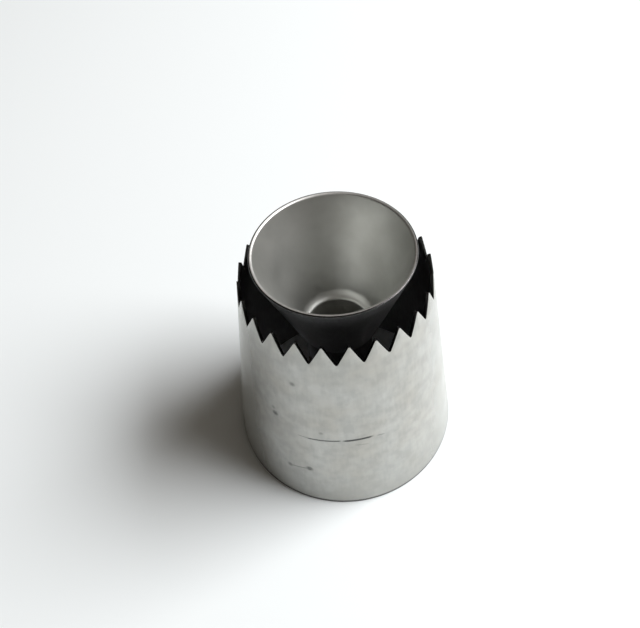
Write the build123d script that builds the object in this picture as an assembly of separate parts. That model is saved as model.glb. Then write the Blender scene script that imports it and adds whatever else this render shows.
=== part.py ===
from build123d import *

import os
from math import acos, atan2, cos, pi, sin

# A ring nozzle for a piping bag, all of stainless steel sheet and wire. Dough is pressed in at the
# wide base, parts round the closed neck of the inner funnel, passes between the struts and leaves
# as a fluted ring between the funnel and the toothed crown.
# Lengths are in millimetres. The origin is the centre of the base, in the plane that it stands on,
# +Z points up to the crown and -Y is the front.

# Outer shell, a straight tapered tube
base_diameter = 50.0
crown_diameter = 36.0
crown_height = 50.0
shell_wall = 0.6

# Teeth of the crown, measured on its outside
tooth_count = 24
tooth_depth = 4.3
tooth_tip_land = 0.3
notch_root_radius = 0.25

# Inner funnel, measured on its outside
rim_diameter = 30.5
rim_height = 55.0
funnel_wall = 0.7
shoulder_diameter = 16.4
shoulder_rise = 1.4
neck_diameter = 13.6
neck_top_height = 33.1
neck_length = 15.0

# Wire struts between neck and shell, the first at the rear and the others spaced evenly
strut_names = ("rear", "left", "right")
strut_diameter = 2.0
strut_height_share = 0.35
weld_leg = 0.8

# Length by which each cut or trimmed blank runs past what trims it
overrun = 2.0

# Sizes that follow from those above
base_radius = base_diameter / 2
crown_radius = crown_diameter / 2
shell_taper = atan2(base_radius - crown_radius, crown_height)
shell_wall_across = shell_wall / cos(shell_taper)
neck_radius = neck_diameter / 2
neck_bottom_height = neck_top_height - neck_length
strut_radius = strut_diameter / 2
strut_height = neck_bottom_height + neck_length * strut_height_share


def shell_inner_radius(height):
    """Radius of the shell's inner wall at a height above the base."""
    narrowing = (base_radius - crown_radius) * height / crown_height
    return base_radius - shell_wall_across - narrowing


def touch_point(point, centre, radius):
    """Where a straight line from the point touches a circle, anticlockwise of the point's side."""
    reach = point - centre
    angle = atan2(reach.Y, reach.X) + acos(radius / reach.length)
    return centre + Vector(cos(angle), sin(angle)) * radius


def notch_punch():
    """Blank of one notch, at the front, with straight flanks that run into a rounded root."""
    tip_pitch = pi * crown_diameter / tooth_count
    half_width = (tip_pitch - tooth_tip_land) / 2
    root_height = crown_height - tooth_depth
    root_centre = Vector(0, root_height + notch_root_radius)
    punch_top = crown_height + overrun
    touch = touch_point(Vector(-half_width, crown_height), root_centre, notch_root_radius)
    with BuildPart() as punch:
        with BuildSketch(Plane.XZ):
            with BuildLine():
                ThreePointArc(touch, (0, root_height), (-touch.X, touch.Y))
                Polyline(
                    touch,
                    (-half_width, crown_height),
                    (-half_width, punch_top),
                    (half_width, punch_top),
                    (half_width, crown_height),
                    (-touch.X, touch.Y),
                )
            make_face()
        extrude(amount=base_radius)
    return punch.part


def outer_shell():
    """Tapered tube turned from its wall section, with a notch punched between each two teeth."""
    with BuildPart() as shell:
        with BuildSketch(Plane.XZ):
            with BuildLine():
                Polyline(
                    (base_radius, 0),
                    (crown_radius, crown_height),
                    (crown_radius - shell_wall_across, crown_height),
                    (base_radius - shell_wall_across, 0),
                    close=True,
                )
            make_face()
        revolve(axis=Axis.Z)
        with PolarLocations(0, tooth_count):
            add(notch_punch(), mode=Mode.SUBTRACT)
    return shell.part


def inner_funnel():
    """Drawn sheet, from the rim down: cone, sloped shoulder, straight neck and flat closed end.

    The outside is drawn first, the hollow is the same outline one wall further in, and both are
    trimmed level at the rim.
    """
    rim = Vector(rim_diameter / 2, rim_height)
    shoulder = Vector(shoulder_diameter / 2, neck_top_height + shoulder_rise)
    past_trim = overrun + funnel_wall
    blank_top = rim + (rim - shoulder).normalized() * past_trim
    with BuildPart() as funnel:
        with BuildSketch(Plane.XZ):
            with BuildLine():
                Polyline(
                    blank_top,
                    shoulder,
                    (neck_radius, neck_top_height),
                    (neck_radius, neck_bottom_height),
                    (-past_trim, neck_bottom_height),
                    (-past_trim, blank_top.Y),
                    close=True,
                )
            make_face()
            offset(amount=-funnel_wall, kind=Kind.INTERSECTION, mode=Mode.SUBTRACT)
            Rectangle(rim_diameter, rim_height, align=(Align.MIN, Align.MIN), mode=Mode.INTERSECT)
        revolve(axis=Axis.Z)
    return funnel.part


def dough_way():
    """Ring of space between neck and shell, whose two walls trim the struts and the welds."""
    on_base = (Align.CENTER, Align.CENTER, Align.MIN)
    with BuildPart() as way:
        Cone(shell_inner_radius(0), shell_inner_radius(crown_height), crown_height, align=on_base)
        Cylinder(neck_radius, crown_height, align=on_base, mode=Mode.SUBTRACT)
    return way.part


def strut_blank():
    """Round wire from the nozzle's axis out through the rear of the shell, before it is trimmed."""
    with BuildPart() as blank:
        with BuildSketch(Plane.XZ):
            with Locations((0, strut_height)):
                Circle(strut_radius)
        extrude(amount=-base_radius)
    return blank.part


def weld_blank(wall_radius, outward):
    """Straight-sided fillet of weld metal round the wire, before the wall at this radius trims it.

    It thins away from the wall, outwards from the neck (1) or inwards from the shell (-1).
    """
    blank_length = weld_leg + overrun
    thin_y = wall_radius + outward * weld_leg
    buried_y = thin_y - outward * blank_length
    with BuildPart() as blank:
        with BuildSketch(Plane.YZ):
            with BuildLine():
                Polyline(
                    (thin_y, strut_height),
                    (thin_y, strut_height + strut_radius),
                    (buried_y, strut_height + strut_radius + blank_length),
                    (buried_y, strut_height),
                    close=True,
                )
            make_face()
        revolve(axis=Axis((0, 0, strut_height), (0, 1, 0)))
    return blank.part


def around(piece):
    """Copies of a rear piece, one for each strut."""
    step = 360 / len(strut_names)
    return [Rot(Z=step * turn) * piece for turn in range(len(strut_names))]


way = dough_way()
wire = strut_blank()
strut = wire & way
neck_weld = (weld_blank(neck_radius, 1) - wire) & way
shell_weld = (weld_blank(shell_inner_radius(strut_height), -1) - wire) & way

pieces = {
    "outer_shell": [outer_shell()],
    "inner_funnel": [inner_funnel()],
    "neck_welds": around(neck_weld),
    "shell_welds": around(shell_weld),
}
for strut_name, placed_strut in zip(strut_names, around(strut)):
    pieces[strut_name + "_strut"] = [placed_strut]

os.makedirs("parts", exist_ok=True)
for node, shapes in pieces.items():
    solids = [solid for shape in shapes for solid in shape.solids()]
    export_step(Compound(solids), "parts/" + node + ".step")
    print(node, len(solids), "solids")
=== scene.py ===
from math import acos, atan2, cos, hypot, pi, radians, sin, sqrt

import bpy
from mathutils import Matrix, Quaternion, Vector


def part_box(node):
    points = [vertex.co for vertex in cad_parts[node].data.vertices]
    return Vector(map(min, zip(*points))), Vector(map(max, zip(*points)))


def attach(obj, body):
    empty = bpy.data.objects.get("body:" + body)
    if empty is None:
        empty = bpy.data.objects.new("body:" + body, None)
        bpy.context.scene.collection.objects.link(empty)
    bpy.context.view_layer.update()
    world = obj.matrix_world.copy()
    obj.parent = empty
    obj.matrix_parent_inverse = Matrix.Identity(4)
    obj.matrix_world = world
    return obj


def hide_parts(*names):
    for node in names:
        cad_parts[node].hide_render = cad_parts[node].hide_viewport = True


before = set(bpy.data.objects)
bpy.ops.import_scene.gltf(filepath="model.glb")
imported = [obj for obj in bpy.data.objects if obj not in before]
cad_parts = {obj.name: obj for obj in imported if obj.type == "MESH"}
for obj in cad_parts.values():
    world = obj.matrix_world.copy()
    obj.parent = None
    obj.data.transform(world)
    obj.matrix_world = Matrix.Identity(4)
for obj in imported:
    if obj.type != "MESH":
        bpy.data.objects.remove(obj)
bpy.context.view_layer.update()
bpy.ops.object.select_all(action="DESELECT")

# Outer shell. A sheet of stainless steel is drawn to a straight taper and trimmed at both ends, and
# the notches between the 24 teeth of its crown are punched out. Tumbling leaves it satin outside
# and breaks its cut edges. The inside is given a darker steel colour and the cut edges a near-black
# one, both as painted shade, and the foot of the base a painted contact shadow.
base_radius = 0.025
crown_radius = 0.018
crown_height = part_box("outer_shell")[1].z
shell_wall = 0.0006
shell_trim = 0.001
tooth_count = 24
tooth_depth = 0.0043
tooth_tip_land = 0.0003
notch_root_radius = 0.00025
columns_per_tooth = 64
crown_edge_round = 0.00004
crown_edge_steps = 2
base_edge_round = 0.0003
base_edge_steps = 4
plain_below_teeth = 0.0008
shell_narrowing = (base_radius - crown_radius) / crown_height


def touch_point(point, centre, radius, side):
    """Where a line from the point touches a circle, anticlockwise (1) or clockwise (-1) of it."""
    reach = Vector(point) - Vector(centre)
    angle = atan2(reach.y, reach.x) + side * acos(radius / reach.length)
    return Vector(centre) + Vector((cos(angle), sin(angle))) * radius


def notch_height(across):
    """Height of the crown's cut edge at a distance from the middle of the nearest notch."""
    half_width = pi * crown_radius / tooth_count - tooth_tip_land / 2
    root_centre = crown_height - tooth_depth + notch_root_radius
    touch = touch_point((half_width, crown_height), (0, root_centre), notch_root_radius, -1)
    if across >= half_width:
        return crown_height
    if across <= touch.x:
        return root_centre - sqrt(notch_root_radius**2 - across**2)
    up_flank = (across - touch.x) / (half_width - touch.x)
    return touch.y + up_flank * (crown_height - touch.y)


def pick_points(piece, wanted):
    """Selects in edit mode only the points of the piece whose place is wanted."""
    bpy.ops.object.mode_set(mode="OBJECT")
    for part in (piece.data.edges, piece.data.polygons):
        part.foreach_set("select", [False] * len(part))
    piece.data.vertices.foreach_set("select", [wanted(point.co) for point in piece.data.vertices])
    bpy.ops.object.mode_set(mode="EDIT")


def cut_level(height, **clear):
    """Cuts the whole piece at a height, and can clear what is below it (inner) or above (outer)."""
    bpy.ops.mesh.select_all(action="SELECT")
    bpy.ops.mesh.bisect(plane_co=(0, 0, height), plane_no=(0, 0, 1), **clear)


def finish_with(piece, kind, **settings):
    """Gives the piece a modifier with these settings and applies it."""
    bpy.ops.object.mode_set(mode="OBJECT")
    modifier = piece.modifiers.new(kind.lower(), kind)
    for name, value in settings.items():
        setattr(modifier, name, value)
    bpy.ops.object.modifier_apply(modifier=modifier.name)


def smooth_sheet(piece, edge_round, segments):
    """Rounds the sharp edges of a sheet piece, and shades its broad faces as if they had none."""
    finish_with(
        piece,
        "BEVEL",
        width=edge_round,
        segments=segments,
        limit_method="ANGLE",
        angle_limit=radians(50),
    )
    bpy.ops.object.shade_smooth_by_angle(angle=radians(40))
    finish_with(piece, "WEIGHTED_NORMAL", keep_sharp=True)


bpy.ops.mesh.primitive_cone_add(
    vertices=tooth_count * columns_per_tooth,
    radius1=base_radius + shell_narrowing * shell_trim,
    radius2=crown_radius,
    depth=crown_height + shell_trim,
    end_fill_type="NOTHING",
    location=(0, 0, (crown_height - shell_trim) / 2),
)
shell = bpy.context.object
shell.name = "outer_shell_sheet"
bpy.ops.object.transform_apply()

column_turn = 2 * pi / (tooth_count * columns_per_tooth)


def column_of(place):
    """How many columns a place is from the middle of the nearest notch."""
    column = round(atan2(place.y, place.x) / column_turn) % columns_per_tooth
    return min(column, columns_per_tooth - column)


almost_crown = crown_height - shell_wall / 2
for column in range(columns_per_tooth // 2):
    cut_height = notch_height(crown_radius * sin(column * column_turn))
    pick_points(shell, lambda place: place.z > almost_crown and column_of(place) == column)
    wider = 1 + shell_narrowing * (crown_height - cut_height) / crown_radius
    bpy.ops.transform.resize(value=(wider, wider, 1), center_override=(0, 0, 0))
    bpy.ops.transform.translate(value=(0, 0, cut_height - crown_height))

finish_with(shell, "SOLIDIFY", thickness=shell_wall, offset=-1, use_even_offset=True)
bpy.ops.object.mode_set(mode="EDIT")
cut_level(crown_height - tooth_depth - plain_below_teeth)
cut_level(0, clear_inner=True)
bpy.ops.mesh.bridge_edge_loops()


def is_base_corner(place):
    """Whether a point is on the outer edge of the base."""
    return place.z < shell_wall / 2 and hypot(place.x, place.y) > base_radius - shell_wall / 2


pick_points(shell, is_base_corner)
bpy.ops.mesh.bevel(offset=base_edge_round, segments=base_edge_steps, affect="EDGES")
smooth_sheet(shell, crown_edge_round, crown_edge_steps)


def add_node(tree, kind, inputs=(), **settings):
    """A shader node with these settings, each input a value or another node's socket."""
    node = tree.nodes.new("ShaderNode" + kind)
    for name, value in settings.items():
        setattr(node, name, value)
    for name, value in dict(inputs).items():
        if isinstance(value, bpy.types.NodeSocket):
            tree.links.new(value, node.inputs[name])
        else:
            node.inputs[name].default_value = value
    return node


def new_steel(name, roughness=0.5, metallic=1):
    """A bare steel material, with its node tree, its shader and the place on the piece."""
    material = bpy.data.materials.new(name)
    material.use_nodes = True
    tree = material.node_tree
    shader = tree.nodes["Principled BSDF"]
    shader.inputs["Metallic"].default_value = metallic
    shader.inputs["Roughness"].default_value = roughness
    place = add_node(tree, "TexCoord").outputs["Object"]
    return material, tree, shader, place


def noise(tree, place, size, detail=2, stretch=(1, 1, 1)):
    """Soft noise from 0 to 1 whose blotches are about this size, longer where stretch is small."""
    stretched = add_node(tree, "Mapping", {"Vector": place, "Scale": stretch}).outputs[0]
    inputs = {"Vector": stretched, "Scale": 1 / size, "Detail": detail}
    return add_node(tree, "TexNoise", inputs).outputs["Fac"]


def remap(tree, value, low, high, to_low, to_high, smooth=False):
    """The value, run from one range to another."""
    inputs = {
        "Value": value,
        "From Min": low,
        "From Max": high,
        "To Min": to_low,
        "To Max": to_high,
    }
    kind = "SMOOTHSTEP" if smooth else "LINEAR"
    return add_node(tree, "MapRange", inputs, interpolation_type=kind).outputs[0]


def sum_up(tree, kind, first, second):
    """Two values put together by a sum of this kind."""
    return add_node(tree, "Math", {0: first, 1: second}, operation=kind).outputs[0]


def blend_colours(tree, share, first, second):
    """A colour between two, each a colour or another node's socket."""
    inputs = {"Factor": share, "A": first, "B": second}
    return add_node(tree, "Mix", inputs, data_type="RGBA").outputs["Result"]


def mottle(tree, pattern, first, second):
    """A colour that wanders between two with a noise pattern."""
    return blend_colours(tree, remap(tree, pattern, 0.35, 0.65, 0, 1), first, second)


def set_surface(tree, shader, colour, relief, strength, depth=0.00003):
    """Gives the shader its colour, and a relief whose shading makes it look this deep."""
    tree.links.new(colour, shader.inputs["Base Color"])
    inputs = {"Height": relief, "Strength": strength, "Distance": depth}
    tree.links.new(add_node(tree, "Bump", inputs).outputs[0], shader.inputs["Normal"])


def scratch(tree, x, height, start, end, half_width):
    """Mask of a fine mark on the front of the shell, between two places given as (x, height)."""
    slant = {
        "Value": x,
        "From Min": start[0],
        "From Max": end[0],
        "To Min": start[1],
        "To Max": end[1],
    }
    line = add_node(tree, "MapRange", slant, clamp=False).outputs[0]
    off = sum_up(tree, "ABSOLUTE", sum_up(tree, "SUBTRACT", height, line), 0)
    core = half_width * 0.3
    fade = half_width * 3
    band = remap(tree, off, core, half_width, 1, 0, smooth=True)
    begun = remap(tree, x, start[0], start[0] + fade, 0, 1, smooth=True)
    ended = remap(tree, x, end[0] - fade, end[0], 1, 0, smooth=True)
    return sum_up(tree, "MULTIPLY", band, sum_up(tree, "MULTIPLY", begun, ended))


pale_steel = (0.545, 0.55, 0.525, 1)
warm_steel = (0.49, 0.48, 0.44, 1)
dull_steel = (0.34, 0.345, 0.325, 1)
mark_and_shade_dark = (0.04, 0.04, 0.04, 1)
satin, tree, shader, place = new_steel("tumbled_sheet", metallic=0.6)
axes = add_node(tree, "SeparateXYZ", {0: place}).outputs
clouds = noise(tree, place, 0.007, detail=3)
blotches = noise(tree, place, 0.0026, detail=4)
streaks = noise(tree, place, 0.0007, stretch=(1, 1, 0.12))
grain = noise(tree, place, 0.00025)
mottled = mottle(tree, clouds, pale_steel, warm_steel)
worn_patches = remap(tree, blotches, 0.3, 0.7, 0, 0.7)
worn_streaks = remap(tree, streaks, 0.3, 0.7, 0, 0.3)
worn = remap(tree, sum_up(tree, "ADD", worn_patches, worn_streaks), 0.2, 0.8, 0, 0.5)
shaded = blend_colours(tree, worn, mottled, dull_steel)
near_base = remap(tree, axes[2], 0.016, 0.001, 0, 0.6)
shaded = blend_colours(tree, near_base, shaded, dull_steel)

marks_and_base_shade = 0
for start, end, half_width, darkness in (
    ((-0.0072, 0.0231), (0.0000, 0.0235), 0.00028, 0.9),
    ((-0.0003, 0.0234), (0.0064, 0.0236), 0.00040, 1.0),
    ((-0.0090, 0.0232), (-0.0058, 0.0232), 0.00020, 0.35),
    ((0.0066, 0.0234), (0.0086, 0.0230), 0.00022, 0.4),
    ((0.0022, 0.0218), (0.0054, 0.0214), 0.00026, 0.2),
    ((-0.0118, 0.0107), (-0.0072, 0.0120), 0.00026, 0.4),
):
    mark = scratch(tree, axes[0], axes[2], start, end, half_width)
    marks_and_base_shade = sum_up(tree, "MAXIMUM", marks_and_base_shade, sum_up(tree, "MULTIPLY", mark, darkness))
front = remap(tree, axes[1], -0.001, 0.001, 1, 0)
marks_and_base_shade = sum_up(tree, "MULTIPLY", marks_and_base_shade, front)

for turn, height, radius, darkness in (
    (radians(232.3), 0.0268, 0.00095, 0.8),
    (radians(244.7), 0.0388, 0.00085, 0.5),
    (radians(240.5), 0.0108, 0.00095, 0.55),
    (radians(251.6), 0.0120, 0.00110, 0.8),
    (radians(231.2), 0.0284, 0.00070, 0.3),
    (radians(259.1), 0.0256, 0.00065, 0.35),
):
    out = base_radius - shell_narrowing * height
    inputs = {0: place, 1: (out * cos(turn), out * sin(turn), height)}
    away = add_node(tree, "VectorMath", inputs, operation="DISTANCE").outputs["Value"]
    core = radius * 0.1
    speck = remap(tree, away, core, radius, darkness, 0, smooth=True)
    marks_and_base_shade = sum_up(tree, "MAXIMUM", marks_and_base_shade, speck)
# Painted contact shadow: the lowest half millimetre of the shell is darkened almost to black where
# it meets the table.
base_contact_shade = remap(tree, axes[2], 0.0005, 0.0010, 0.95, 0, smooth=True)
marks_and_base_shade = sum_up(tree, "MAXIMUM", marks_and_base_shade, base_contact_shade)

cloudy_gloss = remap(tree, clouds, 0.3, 0.7, 0.18, 0.25)
grainy_gloss = remap(tree, grain, 0, 1, -0.01, 0.01)
rough = sum_up(tree, "ADD", cloudy_gloss, grainy_gloss)
tree.links.new(rough, shader.inputs["Roughness"])
relief = sum_up(tree, "SUBTRACT", grain, sum_up(tree, "MULTIPLY", marks_and_base_shade, 3))
# The scratches and specks are real; the dark line along the foot of the base is painted contact
# shadow.
marked_and_shaded = blend_colours(tree, marks_and_base_shade, shaded, mark_and_shade_dark)
set_surface(tree, shader, marked_and_shaded, relief, 0.25)

# Painted shade: the walls that face the narrow gap, the shell's inside and the funnel's outside,
# get a darker steel colour than the rest, with fine drawn lines in it.
gap_shade_finish, tree, shader, place = new_steel("gap_shade_finish", 0.34)
clouds = noise(tree, place, 0.005, detail=3)
streaks = noise(tree, place, 0.0004, stretch=(1, 1, 0.05))
gap_shade_colour = blend_colours(tree, clouds, (0.33, 0.33, 0.335, 1), (0.25, 0.25, 0.255, 1))
drawn_lines = remap(tree, streaks, 0.35, 0.65, 0, 0.4)
gap_shade_colour = blend_colours(tree, drawn_lines, gap_shade_colour, (0.18, 0.18, 0.182, 1))
set_surface(tree, shader, gap_shade_colour, streaks, 0.3)

# Painted shade: the cut edges of the crown and the base, and the outer half of the funnel's rim,
# get a near-black colour that stands in for their shade and dark reflections.
edge_shade_finish, tree, shader, place = new_steel("edge_shade_finish", 0.25)
nicks = noise(tree, place, 0.0005, detail=3)
edge_shade_colour = mottle(tree, nicks, (0.09, 0.088, 0.085, 1), (0.05, 0.05, 0.05, 1))
set_surface(tree, shader, edge_shade_colour, nicks, 0.3)


def paint(piece, main, *others):
    """Gives the piece its main finish, and each other one to the faces that its test picks."""
    piece.data.materials.append(main)
    for slot, (finish, covers) in enumerate(others, 1):
        piece.data.materials.append(finish)
        for face in piece.data.polygons:
            if covers(face.center, face.normal):
                face.material_index = slot


broad_side = 0.6
downward = -0.3
nearest_axis = 1e-9


def faces_out(centre, normal):
    """How far a face looks away from the nozzle's axis, from -1 to 1."""
    out = centre.x * normal.x + centre.y * normal.y
    return out / max(hypot(centre.x, centre.y), nearest_axis)


def is_shell_inside(centre, normal):
    """Whether a face is on the inner wall."""
    return faces_out(centre, normal) < -broad_side


def is_shell_edge(centre, normal):
    """Whether a face is on a cut edge, of the crown or of the base."""
    return abs(faces_out(centre, normal)) <= broad_side or normal.z < downward


paint(shell, satin, (gap_shade_finish, is_shell_inside), (edge_shade_finish, is_shell_edge))
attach(shell, "root")
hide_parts("outer_shell")

# Inner funnel. One sheet is drawn to a cone that rounds into a narrow sloped shoulder and turns
# down over a tight lip into a straight neck with a closed end. Its rim is trimmed level and rounded
# off; the round is given a lighter colour as a painted highlight, its outer half near-black as
# painted shade. The cup is left half bright by the punch, and the outside is given a darker colour
# as painted shade.
rim_radius = 0.01525
rim_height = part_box("inner_funnel")[1].z
neck_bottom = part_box("inner_funnel")[0].z
funnel_wall = 0.0007
funnel_trim = 0.002
funnel_columns = 256
neck_radius = 0.0068
lip_height = 0.0328
lip_round = 0.00005
lip_steps = 6
shoulder_slope = radians(57)
shoulder_round = 0.003 + funnel_wall
shoulder_steps = 14
neck_corner = 0.0015
corner_steps = 6
closed_end_rings = (0.6, 0.3, 0.05)
rim_round = 0.00034
rim_steps = 5


def arc_points(centre, radius, from_angle, to_angle, steps):
    """Points along an arc of the funnel's outline, without the one that it starts from."""
    turn = (to_angle - from_angle) / steps
    angles = [from_angle + turn * step for step in range(1, steps + 1)]
    return [centre + Vector((cos(angle), sin(angle))) * radius for angle in angles]


lip_centre = Vector((neck_radius + lip_round, lip_height))
lip_start = lip_centre + Vector((-cos(shoulder_slope), sin(shoulder_slope))) * lip_round
shoulder_centre = lip_start + Vector((-cos(shoulder_slope), sin(shoulder_slope))) * shoulder_round
cone_end = touch_point((rim_radius, rim_height), shoulder_centre, shoulder_round, -1)
cone_angle = atan2(cone_end.y - shoulder_centre.y, cone_end.x - shoulder_centre.x)
cone_rise = Vector((rim_radius, rim_height)) - cone_end
cone_top = cone_end + cone_rise * (1 + funnel_trim / cone_rise.length)
bpy.ops.mesh.primitive_cone_add(
    vertices=funnel_columns,
    radius1=cone_end.x,
    radius2=cone_top.x,
    depth=cone_top.y - cone_end.y,
    end_fill_type="NOTHING",
    location=(0, 0, (cone_top.y + cone_end.y) / 2),
)
funnel = bpy.context.object
funnel.name = "inner_funnel_sheet"
bpy.ops.object.transform_apply()

outline = [cone_end]
outline += arc_points(shoulder_centre, shoulder_round, cone_angle, -shoulder_slope, shoulder_steps)
outline += arc_points(lip_centre, lip_round, pi - shoulder_slope, pi, lip_steps)
corner_centre = Vector((neck_radius - neck_corner, neck_bottom + neck_corner))
outline.append(corner_centre + Vector((neck_corner, 0)))
outline += arc_points(corner_centre, neck_corner, 0, -pi / 2, corner_steps)
outline += [Vector((corner_centre.x * share, neck_bottom)) for share in closed_end_rings]

pick_points(funnel, lambda place: place.z < cone_end.y + funnel_wall)
for last, following in zip(outline, outline[1:]):
    move = (0, 0, following.y - last.y)
    bpy.ops.mesh.extrude_region_move(TRANSFORM_OT_translate={"value": move})
    narrower = following.x / last.x
    middle = (0, 0, following.y)
    bpy.ops.transform.resize(value=(narrower, narrower, 1), center_override=middle)
bpy.ops.mesh.merge(type="CENTER")
finish_with(funnel, "SOLIDIFY", thickness=funnel_wall, offset=-1, use_even_offset=True)
bpy.ops.object.mode_set(mode="EDIT")
cut_level(rim_height, clear_outer=True)
bpy.ops.mesh.bridge_edge_loops()
smooth_sheet(funnel, rim_round, rim_steps)

half_bright, tree, shader, place = new_steel("half_bright_sheet")
clouds = noise(tree, place, 0.006, detail=3)
rings = noise(tree, place, 0.0004, stretch=(0.02, 0.02, 1))
grain = noise(tree, place, 0.0003)
cup = mottle(tree, clouds, (0.548, 0.554, 0.535, 1), (0.496, 0.499, 0.479, 1))
cloudy_gloss = remap(tree, clouds, 0.3, 0.7, 0.45, 0.53)
grainy_gloss = remap(tree, grain, 0, 1, -0.04, 0.04)
rough = sum_up(tree, "ADD", cloudy_gloss, grainy_gloss)
tree.links.new(rough, shader.inputs["Roughness"])
set_surface(tree, shader, cup, sum_up(tree, "ADD", grain, rings), 0.15)

# Painted highlight: the round of the rim gets a lighter steel colour than the cup.
rim_highlight_finish, tree, shader, place = new_steel("rim_highlight_finish", 0.5)
nicks = noise(tree, place, 0.0006, detail=3)
rim_highlight_colour = mottle(tree, nicks, (0.66, 0.655, 0.64, 1), (0.58, 0.575, 0.56, 1))
set_surface(tree, shader, rim_highlight_colour, nicks, 0.3)

outer_side = 0.1


def is_funnel_outside(centre, normal):
    """Whether a face is on the outside, from the rim down to the underside of the closed end."""
    return faces_out(centre, normal) > outer_side or normal.z < downward


def is_rim(centre, normal):
    """Whether a face is on the round of the rim."""
    return centre.z > rim_height - rim_round


def is_outer_rim(centre, normal):
    """Whether a face is on the outer half of the rim's round."""
    return is_rim(centre, normal) and is_funnel_outside(centre, normal)


paint(
    funnel,
    half_bright,
    (gap_shade_finish, is_funnel_outside),
    (rim_highlight_finish, is_rim),
    (edge_shade_finish, is_outer_rim),
)
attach(funnel, "root")
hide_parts("inner_funnel")

# Three wire struts. Each is a short length of round stainless wire, drawn bright through a die that
# leaves fine lines along it, and cut to butt against the neck and the shell. Together they carry
# the funnel on the axis.
strut_names = ("rear_strut", "right_strut", "left_strut")
strut_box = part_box("rear_strut")
strut_height = (strut_box[0].z + strut_box[1].z) / 2
strut_radius = (strut_box[1].z - strut_box[0].z) / 2
mid_strut_radius = 0.014


def vector_sum(tree, kind, inputs):
    """Vectors put together by a sum of this kind."""
    return add_node(tree, "VectorMath", inputs, operation=kind).outputs[0]


bright_wire, tree, shader, place = new_steel("bright_wire", 0.28)
level = vector_sum(tree, "MULTIPLY", {0: place, 1: (1, 1, 0)})
outward = vector_sum(tree, "NORMALIZE", {0: level})
turned = vector_sum(tree, "SCALE", {0: outward, "Scale": mid_strut_radius})
upright = vector_sum(tree, "MULTIPLY", {0: place, 1: (0, 0, 1)})
across_wire = vector_sum(tree, "ADD", {0: turned, 1: upright})
die_lines = noise(tree, across_wire, 0.00015, detail=3)
tarnish = remap(tree, noise(tree, place, 0.0015, detail=3), 0.4, 0.7, 0, 0.5)
wire_colour = blend_colours(tree, die_lines, (0.55, 0.55, 0.54, 1), (0.42, 0.415, 0.41, 1))
wire_colour = blend_colours(tree, tarnish, wire_colour, (0.4, 0.37, 0.33, 1))
set_surface(tree, shader, wire_colour, die_lines, 0.25)
for strut_name in strut_names:
    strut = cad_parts[strut_name]
    strut.data.materials.clear()
    strut.data.materials.append(bright_wire)

# Welds. A small bead of weld metal runs round each end of each strut. It is hollow where it wetted
# out onto the wire and the wall, rippled where the torch moved on, and straw brown from the heat.
weld_leg = 0.0008
weld_root = 0.0003
bead_columns = 48
bead_steps = 6
columns_per_ripple = 4
ripple_depth = 0.06
clear_of_wire = 1.02
shell_wall_across = shell_wall * hypot(crown_height, base_radius - crown_radius) / crown_height

bead_metal, tree, shader, place = new_steel("bead_metal", 0.42)
speckle = noise(tree, place, 0.0002)
heat = remap(tree, noise(tree, place, 0.0009, detail=3), 0.4, 0.7, 0, 0.8)
weld_colour = blend_colours(tree, speckle, (0.5, 0.485, 0.46, 1), (0.36, 0.345, 0.33, 1))
weld_colour = blend_colours(tree, heat, weld_colour, (0.34, 0.26, 0.17, 1))
set_surface(tree, shader, weld_colour, speckle, 0.4, depth=0.00004)


def add_welds(node_name, wall, outward):
    """A bead on the wall round each strut, out from the neck (1) or in from the shell (-1)."""
    bpy.ops.mesh.primitive_cylinder_add(
        vertices=bead_columns,
        radius=strut_radius + weld_leg,
        depth=weld_root,
        location=(0, wall - outward * weld_root / 2, strut_height),
        rotation=(pi / 2, 0, 0),
    )
    beads = bpy.context.object
    beads.name = node_name + "_beads"
    bpy.ops.object.transform_apply()
    pick_points(beads, lambda place: outward * (place.y - wall) > -weld_root / 2)
    depth, radius = 0, strut_radius + weld_leg
    for step in range(1, bead_steps + 1):
        turn = pi / 2 * step / bead_steps
        next_depth = weld_leg * (1 - cos(turn))
        next_radius = strut_radius + weld_leg * (1 - sin(turn))
        move = (0, outward * (next_depth - depth), 0)
        bpy.ops.mesh.extrude_region_move(TRANSFORM_OT_translate={"value": move})
        narrower = next_radius / radius
        middle = (0, wall + outward * next_depth, strut_height)
        bpy.ops.transform.resize(value=(narrower, 1, narrower), center_override=middle)
        depth, radius = next_depth, next_radius

    def is_ripple(place):
        """Whether a point is in the dip between two ripples, and clear of the wire."""
        column = atan2(place.z - strut_height, place.x) / (2 * pi / bead_columns)
        clear = hypot(place.x, place.z - strut_height) > strut_radius * clear_of_wire
        return clear and round(column) % columns_per_ripple == 0

    pick_points(beads, is_ripple)
    shrunk = 1 - ripple_depth
    middle = (0, wall, strut_height)
    bpy.ops.transform.resize(value=(shrunk, 1, shrunk), center_override=middle)
    bpy.ops.mesh.select_all(action="SELECT")
    bpy.ops.mesh.normals_make_consistent()
    step_round = 2 * pi / len(strut_names)
    for copy in strut_names[1:]:
        bpy.ops.mesh.duplicate()
        bpy.ops.transform.rotate(value=step_round, orient_axis="Z", center_override=(0, 0, 0))
    bpy.ops.object.mode_set(mode="OBJECT")
    bpy.ops.object.shade_smooth_by_angle(angle=radians(50))
    beads.data.materials.append(bead_metal)
    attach(beads, "root")
    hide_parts(node_name)
    bpy.ops.object.select_all(action="DESELECT")


add_welds("neck_welds", neck_radius, 1)
add_welds("shell_welds", base_radius - shell_narrowing * strut_height - shell_wall_across, -1)

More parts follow.
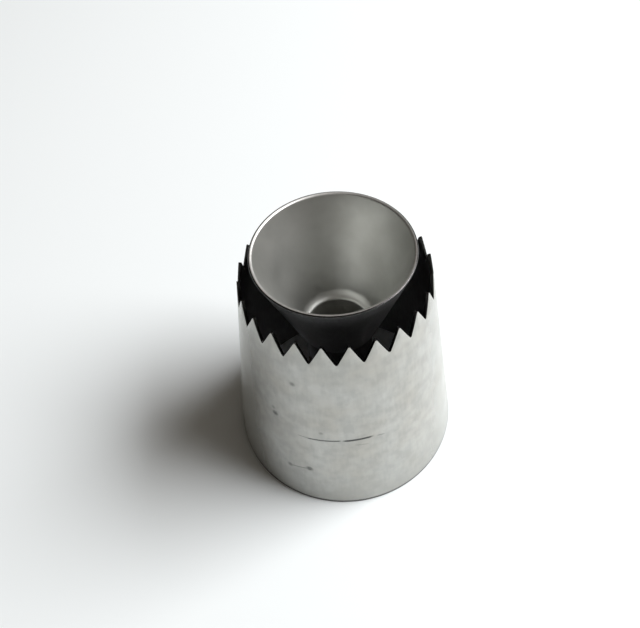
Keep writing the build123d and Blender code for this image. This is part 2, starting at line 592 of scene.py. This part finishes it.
# Table top, light and camera. The nozzle stands on a pale table, lit by one large soft light from
# its right and by a dim room that is lighter on that side, and it is seen from above its front.
floor_size = 8
bpy.ops.mesh.primitive_plane_add(size=floor_size)
floor = bpy.context.object
floor.name = "table_top"
paper = bpy.data.materials.new("pale_table")
paper.use_nodes = True
paper_shader = paper.node_tree.nodes["Principled BSDF"]
paper_shader.inputs["Base Color"].default_value = (0.855, 0.89, 0.905, 1)
paper_shader.inputs["Roughness"].default_value = 0.8
paper_shader.inputs["Specular IOR Level"].default_value = 0.2
floor.data.materials.append(paper)

key_distance = 1.5
key_elevation = radians(44.7)
key_azimuth = radians(8)
key_width = 1.17
key_height = 0.83
key_power = 37.6
key_direction = Vector((cos(key_azimuth), sin(key_azimuth), 0)) * cos(key_elevation)
key_direction.z = sin(key_elevation)
bpy.ops.object.light_add(type="AREA", location=key_direction * key_distance)
key = bpy.context.object
key.name = "key_light"
key.rotation_mode = "QUATERNION"
key.rotation_quaternion = key_direction.to_track_quat("Z", "Y")
key.data.shape = "RECTANGLE"
key.data.size = key_width
key.data.size_y = key_height
key.data.energy = key_power

room_light_from = (0.103, 0.023, 0.052)
room_level = 0.085
room_darkest = 0.01
world = bpy.data.worlds.new("room")
world.use_nodes = True
bpy.context.scene.world = world
tree = world.node_tree
background = tree.nodes["Background"]
look = add_node(tree, "TexCoord").outputs["Generated"]
inputs = {0: look, 1: room_light_from}
room_side = add_node(tree, "VectorMath", inputs, operation="DOT_PRODUCT").outputs["Value"]
room_light = sum_up(tree, "ADD", room_side, room_level)
room_light = sum_up(tree, "MAXIMUM", room_light, room_darkest)
tree.links.new(room_light, background.inputs["Strength"])
background.inputs["Color"].default_value = (1, 0.88, 0.74, 1)

camera_place = Vector((0.00387, -0.07795, 0.13799))
camera_aim = Vector((-0.00434, 0.00863, 0.025))
camera_roll = radians(-6.64)
bpy.ops.object.camera_add(location=camera_place)
camera = bpy.context.object
camera.rotation_mode = "QUATERNION"
level_look = (camera_aim - camera_place).to_track_quat("-Z", "Y")
camera.rotation_quaternion = level_look @ Quaternion((0, 0, 1), camera_roll)
camera.data.lens = 36
camera.data.sensor_width = 36
camera.data.clip_start = 0.005
bpy.context.scene.camera = camera
bpy.context.scene.view_settings.view_transform = "Standard"
